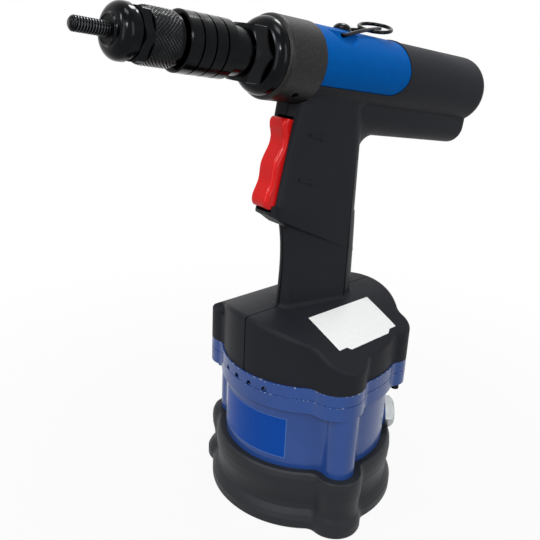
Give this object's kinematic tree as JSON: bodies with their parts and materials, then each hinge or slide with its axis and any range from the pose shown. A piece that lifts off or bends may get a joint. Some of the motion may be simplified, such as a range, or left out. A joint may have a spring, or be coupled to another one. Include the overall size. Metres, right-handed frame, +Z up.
{
  "type": "pneumatic rivet nut tool",
  "caption": "Pistol-grip air tool whose spinning mandrel threads into a rivet nut and is pulled back by an air-over-oil piston, with a rocker trigger and a round base.",
  "frame": {"origin": "centre of the round base on the plane of the boot's underside", "axes": "+Z up out of the foot, -X towards the nose, -Y the side seen in the picture"},
  "size_m": [0.2696, 0.12, 0.2819],
  "materials": {
    "black_steel": "polished black oxide",
    "black_casting": "textured black paint",
    "blue_cover": "hammered blue paint",
    "blue_paint": "gloss blue paint",
    "housing_plastic": "satin moulded",
    "strip_rubber": "matt",
    "trigger_plastic": "gloss",
    "boot_rubber": "satin",
    "nickel": "nickel plate",
    "spring_steel": "oiled",
    "tool_steel": "ground",
    "bare_aluminium": "turned",
    "motor_iron": "ground",
    "seal_rubber": "matt",
    "felt": "felt",
    "vane_plastic": "laminate"
  },
  "bodies": {
    "housing": {"set_screw": "black_steel", "nose_sleeve": "black_steel", "sleeve_lock_nut": "black_steel", "head_cap": "black_steel", "head_cylinder": "black_casting", "rod_seal": "seal_rubber", "return_spring": "spring_steel", "ring_gear": "tool_steel", "motor_front_plate": "motor_iron", "motor_cylinder": "motor_iron", "motor_rear_plate": "motor_iron", "motor_bearings": "tool_steel", "saddle_cover": "blue_cover", "bleed_plug": "black_steel", "grip_near": "housing_plastic", "grip_far": "housing_plastic", "back_strip": "strip_rubber", "trigger_pin": "tool_steel", "valve_block": "bare_aluminium", "oil_tube": "bare_aluminium", "ram_seal": "seal_rubber", "housing_screws": "black_steel", "flange_plate": "blue_paint", "exhaust_felt": "felt", "air_cylinder": "blue_paint", "piston_spring": "spring_steel", "piston_bumper": "seal_rubber", "tie_bolts": "black_steel", "air_inlet": "nickel", "base_boot": "boot_rubber"},
    "trigger": {"trigger": "trigger_plastic"},
    "pull_valve": {"pull_valve": "tool_steel"},
    "reverse_valve": {"reverse_valve": "tool_steel"},
    "puller": {"pull_piston": "tool_steel", "pull_piston_seal": "seal_rubber"},
    "spindle": {"drive_shaft": "tool_steel", "thrust_bearings": "tool_steel", "drive_chuck": "tool_steel", "mandrel": "black_steel"},
    "carrier": {"planet_carrier": "tool_steel"},
    "planet_1": {"planet_gear_1": "tool_steel"},
    "planet_2": {"planet_gear_2": "tool_steel"},
    "planet_3": {"planet_gear_3": "tool_steel"},
    "rotor": {"motor_rotor": "tool_steel", "rotor_vanes": "vane_plastic"},
    "ram": {"ram": "tool_steel", "ram_nut": "tool_steel", "air_piston": "bare_aluminium", "piston_seal": "seal_rubber"},
    "anvil": {"anvil": "black_steel"},
    "adjuster": {"stroke_adjuster": "black_steel"},
    "hanger": {"hanger": "black_steel"}
  },
  "joints": [
    {"name": "trigger_rock", "type": "hinge", "parent": "housing", "child": "trigger", "pos_m": [-0.03009, 0, 0.20421], "axis": [0, 1, 0], "range_deg": [-4, 4]},
    {"name": "pull_valve_slide", "type": "slide", "parent": "housing", "child": "pull_valve", "axis": [0.9744, 0, -0.225], "range_m": [-0.00083, 0.00083], "stiffness_N_per_m": 8000},
    {"name": "reverse_valve_slide", "type": "slide", "parent": "housing", "child": "reverse_valve", "axis": [0.9744, 0, -0.225], "range_m": [-0.0009, 0.0009]},
    {"name": "ram_stroke", "type": "slide", "parent": "housing", "child": "ram", "axis": [0, 0, 1], "range_m": [0, 0.0387], "deforming": ["piston_spring"]},
    {"name": "pull_stroke", "type": "slide", "parent": "housing", "child": "puller", "axis": [0.988, 0, -0.1547], "range_m": [0, 0.007], "deforming": ["return_spring"]},
    {"name": "rotor_spin", "type": "hinge", "parent": "housing", "child": "rotor", "pos_m": [0.09484, 0, 0.23575], "axis": [-0.988, 0, 0.1547], "continuous": true},
    {"name": "mandrel_spin", "type": "hinge", "parent": "puller", "child": "spindle", "pos_m": [-0.0988, 0, 0.26607], "axis": [-0.988, 0, 0.1547], "continuous": true},
    {"name": "carrier_spin", "type": "hinge", "parent": "housing", "child": "carrier", "pos_m": [0.05928, 0, 0.24132], "axis": [-0.988, 0, 0.1547], "continuous": true},
    {"name": "planet_spin_1", "type": "hinge", "parent": "carrier", "child": "planet_1", "pos_m": [0.06866, -0.00945, 0.23985], "axis": [-0.988, 0, 0.1547], "continuous": true},
    {"name": "planet_spin_2", "type": "hinge", "parent": "carrier", "child": "planet_2", "pos_m": [0.06993, 0.00473, 0.24793], "axis": [-0.988, 0, 0.1547], "continuous": true},
    {"name": "planet_spin_3", "type": "hinge", "parent": "carrier", "child": "planet_3", "pos_m": [0.0674, 0.00473, 0.23176], "axis": [-0.988, 0, 0.1547], "continuous": true},
    {"name": "stroke_adjust", "type": "slide", "parent": "housing", "child": "anvil", "axis": [-0.988, 0, 0.1547], "range_m": [-0.00149, 0.00299]},
    {"name": "adjuster_turn", "type": "hinge", "parent": "anvil", "child": "adjuster", "pos_m": [-0.10868, 0, 0.26762], "axis": [-0.988, 0, 0.1547], "range_deg": [-360, 720]},
    {"name": "hanger_swing", "type": "hinge", "parent": "housing", "child": "hanger", "pos_m": [-0.00082, 0, 0.26733], "axis": [0, -1, 0], "range_deg": [0, 150]}
  ],
  "couplings": [
    {"joint": "trigger_rock", "follows": "pull_valve_slide", "rad_per_m": 83.333},
    {"joint": "reverse_valve_slide", "follows": "pull_valve_slide", "ratio": -1},
    {"joint": "pull_stroke", "follows": "ram_stroke", "ratio": 0.18085},
    {"joint": "mandrel_spin", "follows": "rotor_spin", "ratio": 0.22222},
    {"joint": "carrier_spin", "follows": "rotor_spin", "ratio": 0.22222},
    {"joint": "adjuster_turn", "follows": "stroke_adjust", "rad_per_m": 4188.8},
    {"joint": "planet_spin_1", "follows": "rotor_spin", "ratio": -0.62222},
    {"joint": "planet_spin_2", "follows": "rotor_spin", "ratio": -0.62222},
    {"joint": "planet_spin_3", "follows": "rotor_spin", "ratio": -0.62222}
  ]
}
